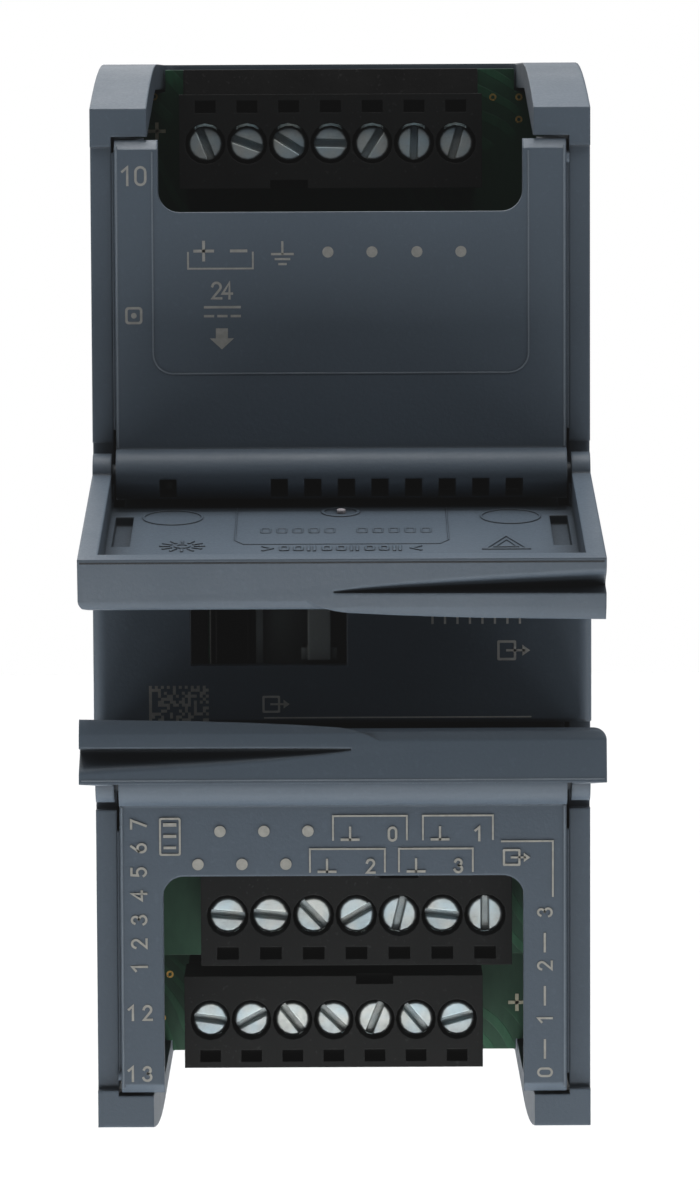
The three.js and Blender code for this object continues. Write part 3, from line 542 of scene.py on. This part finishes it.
# ---------------------------------------------------------------- printed marks, lower panel
def lower_marks(bm, y0, y1):
    for z, row in ((-19.48, (-11.19, -7.2, -3.2)), (-22.5, (-13.21, -9.21, -5.22))):
        for x in row:
            add_plate(bm, circle(x, z, 0.52), y0, y1)
    channels = (("0", -0.92, 5.79, -20.58, -18.11), ("1", 7.25, 13.6, -20.58, -18.11),
                ("2", -3.03, 3.78, -23.51, -21.13), ("3", 5.06, 11.77, -23.51, -21.13))
    for number, x0, x1, z0, z1 in channels:
        bracket = [(x0, z0 + 0.3), (x0, z1), (x1, z1), (x1, z0 + 0.3)]
        add_line(bm, bracket, 0.16, y0, y1)
        add_digits(bm, number, (x1 - 1.75, x1 - 0.8), (z0 + 0.1, z0 + 1.5), y0, y1)
        # a small ground bar stands for the return terminal of each pair
        left = x0 + 0.8
        add_line(bm, [(left, z0 + 0.3), (left + 1.5, z0 + 0.3)], 0.22, y0, y1)
        add_line(bm, [(left + 0.75, z0 + 0.3), (left + 0.75, z0 + 1.4)], 0.2, y0, y1)
    add_line(bm, [(14.41, -20.49), (19.05, -20.49), (19.04, -25.53)], 0.16, y0, y1)
    # output sign: a box with an arrow out of it
    add_frame(bm, 14.5, 16.1, -22.75, -21.2, 0.2, (0.12, 0.06), y0, y1)
    add_line(bm, [(15.3, -21.97), (16.5, -21.97)], 0.18, y0, y1)
    add_plate(bm, [(16.4, -21.55), (16.4, -22.4), (17.0, -21.97)], y0, y1)
    add_digits(bm, "12", (-19.77, -17.41), (-36.85, -35.37), y0, y1)
    add_digits(bm, "13", (-19.82, -17.46), (-42.48, -41.0), y0, y1)
    # upright rows of terminal numbers beside the opening
    add_digits(bm, "1234567", (-19.36, -17.83), (-32.42, -18.29), y0, y1, 0.21, True)
    add_frame(bm, -16.72, -14.75, -21.68, -18.2, 0.18, (0.2, 0.1), y0, y1)
    for k, z in enumerate((-21.1, -20.05, -19.0)):
        add_line(bm, [(-16.2, z + 0.15), (-15.3, z + 0.15)], 0.24 + 0.04 * k, y0, y1)
    add_digits(bm, "0123", (17.59, 19.03), (-42.2, -26.54), y0, y1, 0.2, True)
    for z in (-39.6, -34.7, -29.8):
        add_line(bm, [(18.3, z - 0.8), (18.3, z + 0.8)], 0.2, y0, y1)


printed("lower_panel_marks", lower_marks, PANEL_Y, INK)


# ---------------------------------------------------------------- printed marks, centre block
def square_code(bm, y0, y1):
    """A random square of dots, which encodes nothing."""
    source = random.Random(41)
    cells = 20
    pitch = 5.37 / cells
    for row in range(cells):
        for column in range(cells):
            border = column == 0 or row == cells - 1
            dashes = (row == 0 and column % 2 == 0) or (column == cells - 1 and row % 2)
            inside = 0 < row and column < cells - 1
            if border or dashes or (inside and source.random() < 0.48):
                x = -17.38 + column * pitch
                z = -5.67 - (row + 1) * pitch
                if z > -8.9:
                    dot = [(x, z), (x + pitch, z), (x + pitch, z + pitch), (x, z + pitch)]
                    add_plate(bm, dot, y0, y1)


def block_marks(bm, y0, y1):
    # two output signs, a line over the lower light slots, and the scale above the right-hand one
    add_frame(bm, -7.2, -5.6, -8.15, -6.6, 0.2, (0.12, 0.06), y0, y1)
    add_line(bm, [(-6.4, -7.37), (-5.2, -7.37)], 0.18, y0, y1)
    add_plate(bm, [(-5.3, -6.97), (-5.3, -7.77), (-4.75, -7.37)], y0, y1)
    add_frame(bm, 13.9, 15.6, -3.5, -1.7, 0.22, (0.12, 0.06), y0, y1)
    add_line(bm, [(14.8, -2.6), (16.3, -2.6)], 0.2, y0, y1)
    add_plate(bm, [(16.15, -2.1), (16.15, -3.1), (16.85, -2.6)], y0, y1)
    add_line(bm, [(-7.0, -8.6), (16.9, -8.6)], 0.12, y0, y1)
    for i in range(8):
        x = 8.1 + i * 1.12
        add_line(bm, [(x, -0.1), (x, 1.0 if i % 2 else 1.5)], 0.2, y0, y1)


printed("block_dot_square", square_code, FRONT, INK_DIM)
printed("block_marks", block_marks, FRONT, INK_BLOCK)


# ---------------------------------------------------------------- label field on the upper panel
def label_field():
    """A fine raised line borders the writing area below the upper opening. Its paler colour is a painted highlight
    along the bead.
    """
    bm = bmesh.new()
    path = [(-16.9, 42.0), *arc(-15.1, 23.93, 1.8, 1.8, 180, 270, 8),
            *arc(15.1, 23.93, 1.8, 1.8, 270, 360, 8), (16.9, 42.0)]
    add_line(bm, path, 0.15, PANEL_Y - 0.05, PANEL_Y + 0.02)
    piece("label_field_edge", bm, PAINTED_HIGHLIGHT, "housing", "housing")


label_field()


def panel_edges():
    """Pale lines painted as highlights along the outer edges of both panels, and the seams between the cover and
    the side walls.
    """
    edges, seams = bmesh.new(), bmesh.new()
    for side in (-1, 1):
        edge_x = sorted((side * 20.2, side * 20.02))
        seam_x = sorted((side * 20.34, side * 20.56))
        for z in ((15.4, 42.6), (-43.1, -17.2)):
            add_block(edges, edge_x, (PANEL_Y - PRINT, PANEL_Y + 0.1), z)
        for z in ((17.0, 42.0), (-42.0, -19.5)):
            add_block(seams, seam_x, (PANEL_Y + 1.05, PANEL_Y + 3), z)
    piece("panel_edge_lines", edges, PAINTED_HIGHLIGHT, "housing", "housing")
    piece("panel_seams", seams, MATERIALS["housing"], "housing", "housing")


panel_edges()


# ---------------------------------------------------------------- terminal cover mouldings
def cover_details(which):
    """Ejector marks, gate, frame lines, clock and triangle moulded on a cover's inner face."""
    body = which + "_cover"
    place = hinge_matrix(which)
    raised = bmesh.new()
    y0, y1 = COVER_INNER_Y - 0.05, COVER_INNER_Y + 0.1
    for x in (-15.1, 15.1):
        add_loops(raised, circle(x, 5.2, 2.72, 40), circle(x, 5.2, 2.54, 40), y0, y1)
    add_loops(raised, circle(-0.1, 3.3, 1.75, 30), circle(-0.1, 3.3, 1.45, 30), y0, y1)
    frame_line = [(-9.4, 1.6), (-9.4, 13.6), (-8.6, 15.0), (8.6, 15.0), (9.4, 13.6), (9.4, 1.6)]
    add_line(raised, frame_line, 0.14, y0, COVER_INNER_Y + 0.07)
    add_line(raised, [(12.5, 17.0), (14.5, 12.3), (16.3, 17.0), (12.5, 17.0)], 0.34, y0, y1)
    add_line(raised, [(13.4, 16.3), (14.5, 13.7), (15.4, 16.3), (13.4, 16.3)], 0.2, y0, y1)
    clock_x, clock_z = -14.0, 15.6
    hub, hole = circle(clock_x, clock_z, 0.75, 20), circle(clock_x, clock_z, 0.45, 20)
    add_loops(raised, hub, hole, y0, y1)
    for i in range(12):
        a = math.radians(30 * i)
        ray = [(clock_x + r * math.cos(a), clock_z + r * math.sin(a)) for r in (1.15, 1.9)]
        add_line(raised, ray, 0.24, y0, y1)
    # two rows of raised marks: a faint row of rings, and a bolder row of rings and bars
    for i in (0, 1, 2, 3, 4, 6, 7, 8, 9, 10):
        x = -7.2 + i * 1.42
        outer, hole = (x, x + 0.95, 9.2, 11.0), (x + 0.16, x + 0.79, 9.45, 10.75)
        add_loops(raised, rounded(*outer, 0.2, 2), rounded(*hole, 0.1, 2), y0, COVER_INNER_Y + 0.06)
    for side in (-1, 1):
        add_line(raised, [(side * 6.9, 15.9), (side * 6.1, 16.6), (side * 6.9, 17.3)], 0.24, y0, y1)
    for i in range(9):
        x = -5.4 + i * 1.25
        if i % 3 == 2:
            add_line(raised, [(x, 15.8), (x, 17.4)], 0.26, y0, y1)
            add_line(raised, [(x + 0.5, 15.8), (x + 0.5, 17.4)], 0.26, y0, y1)
        else:
            outer, hole = (x - 0.1, x + 0.8, 15.8, 17.4), (x + 0.12, x + 0.58, 16.05, 17.15)
            add_loops(raised, rounded(*outer, 0.25, 3), rounded(*hole, 0.1, 3), y0, y1)
    marks_name = which + "_cover_moulding_marks"
    piece(marks_name, raised, MATERIALS["cover"], body, "cover", place, 0.03)
    # the gate nub is pale: partly torn, whitened plastic and partly a painted highlight
    gate = bmesh.new()
    add_plate(gate, circle(-0.05, 3.5, 0.42, 12), COVER_INNER_Y - 0.05, COVER_INNER_Y + 0.35)
    piece(which + "_cover_gate", gate, TORN_AND_HIGHLIT_GATE, body, "cover", place, 0.1)
    # a thin line under each cover's rim: painted shade of the parting groove on the upper cover, a painted
    # highlight on the lower cover's edge
    painted_rim_line = bmesh.new()
    add_block(painted_rim_line, (-22.2, 22.2), (0.02, 0.16), (32.75, 32.82))
    rim_line_paint = PAINTED_GROOVE_SHADE if which == "upper" else PAINTED_HIGHLIGHT
    piece(which + "_cover_painted_rim_line", painted_rim_line, rim_line_paint, body, "cover", place)


for cover_name in ("upper", "lower"):
    cover_details(cover_name)


# ---------------------------------------------------------------- terminals
WIRES_ENTER = {"x10": 1, "x12": -1, "x13": -1}  # 1 from above, -1 from below
CLAMP = 1.28  # half a clamp's width


def screw_centre(name, index):
    low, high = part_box("screw_%s_%d" % (name, index))
    return (low.x + high.x) / 2 / MM, low.y / MM, (low.z + high.z) / 2 / MM


def wire_clamps(name, entry):
    """The zinc cage behind each screw, seen down its hole and through the wire entry."""
    bm = bmesh.new()
    for index in range(1, 8):
        x, y, z = screw_centre(name, index)
        front = y + 1.75
        reach = sorted((z + entry * 0.2, z + entry * 4.2))
        for side in (-1, 1):
            wall = sorted((x + side * CLAMP, x + side * (CLAMP - 0.26)))
            add_block(bm, wall, (front + 0.2, front + 3.1), reach)
        add_block(bm, (x - CLAMP, x + CLAMP), (front + 2.85, front + 3.1), reach)
    piece("wire_clamps_" + name, bm, MATERIALS["steel"], "plug_" + name, "steel", edge=0.05)


def slot_shade_strip():
    """A black strip behind each hinge bar keeps stray light out of the slots: a dark sheet put in to paint the
    shade inside them.
    """
    bm = bmesh.new()
    depth = (FRONT + 11.5, FRONT + 12.1)
    upper = JOINTS["cover_upper_hinge"]["pos_m"][2] / MM - 1.15
    lower = JOINTS["cover_lower_hinge"]["pos_m"][2] / MM + 1.15
    for z, x in ((upper, (-7.5, 17.0)), (lower, (-7.5, -0.9)), (lower, (13.4, 17.0))):
        add_block(bm, x, depth, (z - 1.0, z + 1.0))
    piece("slot_shade_strip", bm, MATERIALS["connector"], "housing", "connector", edge=0.1)


slot_shade_strip()
for block_name, entry_side in WIRES_ENTER.items():
    wire_clamps(block_name, entry_side)


# ---------------------------------------------------------------- boards
def board_details():
    """Crosses, vias and pads on the main board, beside the terminal blocks."""
    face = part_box("main_board")[0].y / MM
    print_y = (face - 0.03, face + 0.01)
    pads = bmesh.new()
    rings = ((15.1, 46.7), (17.67, 46.7), (17.66, 44.5),
             (-18.3, 46.9), (-17.4, -40.6), (-18.2, -45.0))
    for x, z in rings:
        add_loops(pads, circle(x, z, 0.36, 20), circle(x, z, 0.18, 20), *print_y)
    for i in range(12):
        add_plate(pads, circle(-14.0 + i * 2.6, -37.2 + (i % 3) * 0.7, 0.22, 10), *print_y)
    piece("board_pads", pads, GOLD, "housing", "board")
    silk = bmesh.new()
    for x, z in ((17.33, -43.6), (-18.06, 43.5)):
        add_line(silk, [(x - 0.7, z), (x + 0.7, z)], 0.34, *print_y)
        add_line(silk, [(x, z - 0.7), (x, z + 0.7)], 0.34, *print_y)
    piece("board_silkscreen", silk, SILK, "housing", "board")


board_details()


# ---------------------------------------------------------------- contacts
# each header's middle pin in x, and its row of pins in z
HEADER_PINS = {"x10": (-0.9, 42.8), "x12": (1.2, -29.5), "x13": (-1.0, -42.9)}
PIN_PITCH = 4.0
PIN = 0.47  # half a pin's width, with its plating
STRIPS = 6
STRIP_PITCH = 1.55
STRIP = 0.425  # half a contact strip's width


def header_pins(name, middle, z):
    """Tinned square pins in a header, which show when its plug is pulled."""
    front, floor = (corner.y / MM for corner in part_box("header_" + name))
    bm = bmesh.new()
    for pole in range(-3, 4):
        x = middle + pole * PIN_PITCH
        add_block(bm, (x - PIN, x + PIN), (front + 1.15, floor - 1.05), (z - PIN, z + PIN))
    piece("header_pins_" + name, bm, TIN, "housing", "steel", edge=0.08)


for header_name, (middle_pin, row_height) in HEADER_PINS.items():
    header_pins(header_name, middle_pin, row_height)


def add_contacts(bm, x, faces):
    """Rows of flat gold strips along z, one row for each pair of y in faces."""
    for y in faces:
        for i in range(STRIPS):
            z = (i - (STRIPS - 1) / 2) * STRIP_PITCH
            add_block(bm, x, y, (z - STRIP, z + STRIP))


def bus_contacts():
    """The plug's flange and gold strips, and a tongue with the matching strips in the socket."""
    plug = bmesh.new()
    add_contacts(plug, (-22.0, -18.6), ((-53.72, -53.58), (-52.42, -52.28)))
    piece("bus_plug_contacts", plug, GOLD, "bus_connector", "connector", edge=0.03)
    black = MATERIALS["connector"]
    flange = bmesh.new()
    add_plate(flange, rounded(-12.1, -7.9, -6.4, 6.4, 0.7), -56.3, -55.9)
    add_frame(flange, -11.6, -8.4, -5.9, 5.9, 0.3, (0.5, 0.3), -56.42, -56.2, 6)
    piece("bus_plug_flange", flange, black, "bus_connector", "connector", edge=0.08)
    tongue = bmesh.new()
    tip = [(14.8, -4.9), (19.4, -4.9), (19.8, -4.5), (19.8, -0.25), (19.1, -0.25)]
    add_plate(tongue, tip + [(x, -z) for x, z in reversed(tip)], -53.35, -52.65)
    piece("bus_socket_tongue", tongue, black, "housing", "connector", edge=0.1)
    socket = bmesh.new()
    add_contacts(socket, (15.4, 19.6), ((-53.43, -53.3), (-52.7, -52.57)))
    piece("bus_socket_contacts", socket, GOLD, "housing", "connector", edge=0.03)


bus_contacts()


# ---------------------------------------------------------------- camera, light and floor
def look_at(position, target, roll=0.0):
    position, target = Vector(position) * MM, Vector(target) * MM
    turn = (position - target).to_track_quat("Z", "Y").to_matrix().to_4x4()
    return Matrix.Translation(position) @ turn @ Matrix.Rotation(roll, 4, "Z")


camera = bpy.data.objects.new("camera", bpy.data.cameras.new("camera"))
scene.collection.objects.link(camera)
camera.matrix_world = look_at((0, -560.9, 47.9), (0, -63.2, 0), math.radians(-0.266))
camera.data.sensor_width = 36
camera.data.lens = 166.72
camera.data.shift_x = 0.0066
camera.data.shift_y = 0.01765
camera.data.clip_start = 0.01
camera.data.clip_end = 20
scene.camera = camera


def softbox(name, position, target, size, power):
    light = bpy.data.lights.new(name, "AREA")
    light.shape = "RECTANGLE"
    light.size, light.size_y = size
    light.energy = power
    holder = bpy.data.objects.new(name, light)
    scene.collection.objects.link(holder)
    holder.matrix_world = look_at(position, target)
    holder.visible_camera = False


def sun(name, position, angle, strength):
    light = bpy.data.lights.new(name, "SUN")
    light.energy = strength
    light.angle = math.radians(angle)
    holder = bpy.data.objects.new(name, light)
    scene.collection.objects.link(holder)
    holder.matrix_world = look_at(position, (0, 0, 0))


sun("overhead_wide", (0, 200, 1000), 38, 1.9)
sun("overhead_key", (0, 60, 1000), 12, 1.65)
softbox("over_front", (0, -110, 130), (0, -60, 30), (0.25, 0.05), 0.068)
softbox("over_right", (500, -300, 500), (0, -40, 0), (0.3, 0.3), 0.5)
softbox("low_far", (0, -680, -250), (0, -65, 0), (0.36, 0.15), 0.2)
softbox("low_front", (0, -640, -385), (0, -65, 0), (0.36, 0.15), 2.0)
softbox("low_steep", (0, -234, -363), (0, -65, 0), (0.3, 0.12), 0.3)
softbox("low_under", (0, -168, -386), (0, -65, 0), (0.3, 0.12), 0.2)
softbox("low_left", (-300, -250, -300), (0, -65, 0), (0.2, 0.2), 0.6)
softbox("low_right", (300, -250, -300), (0, -65, 0), (0.2, 0.2), 0.42)
softbox("rear", (-300, 600, 420), (0, 0, 45), (0.9, 0.7), 3)
softbox("left_rim", (-600, -115, 0), (0, -60, 0), (0.16, 0.8), 1.2)
softbox("right_rim", (600, -115, 0), (0, -60, 0), (0.16, 0.8), 1.2)

world = bpy.data.worlds.new("studio")
scene.world = world
world.use_nodes = True
background = world.node_tree.nodes["Background"]
background.inputs["Color"].default_value = (0.93, 0.96, 1, 1)
background.inputs["Strength"].default_value = 0.05
backdrop = world.node_tree.nodes.new("ShaderNodeBackground")
backdrop.inputs["Color"].default_value = (1, 1, 1, 1)
rays = world.node_tree.nodes.new("ShaderNodeLightPath")
choose = world.node_tree.nodes.new("ShaderNodeMixShader")
surface = world.node_tree.nodes["World Output"].inputs["Surface"]
for source, target in ((rays.outputs["Is Camera Ray"], choose.inputs[0]),
                       (background.outputs[0], choose.inputs[1]),
                       (backdrop.outputs[0], choose.inputs[2]), (choose.outputs[0], surface)):
    world.node_tree.links.new(source, target)

floor_mesh = bpy.data.meshes.new("floor")
sheet = bmesh.new()
bmesh.ops.create_grid(sheet, x_segments=8, y_segments=8, size=2.2)
sheet.to_mesh(floor_mesh)
sheet.free()
floor = bpy.data.objects.new("floor", floor_mesh)
floor.location = (0, 1.9, -0.45)
floor_mesh.materials.append(studio_paper("studio_paper", (0.93, 0.935, 0.94)))
scene.collection.objects.link(floor)

scene.view_settings.view_transform = "Standard"
scene.view_settings.use_curve_mapping = True
scene.view_settings.curve_mapping.black_level = (-0.006, -0.006, -0.006)
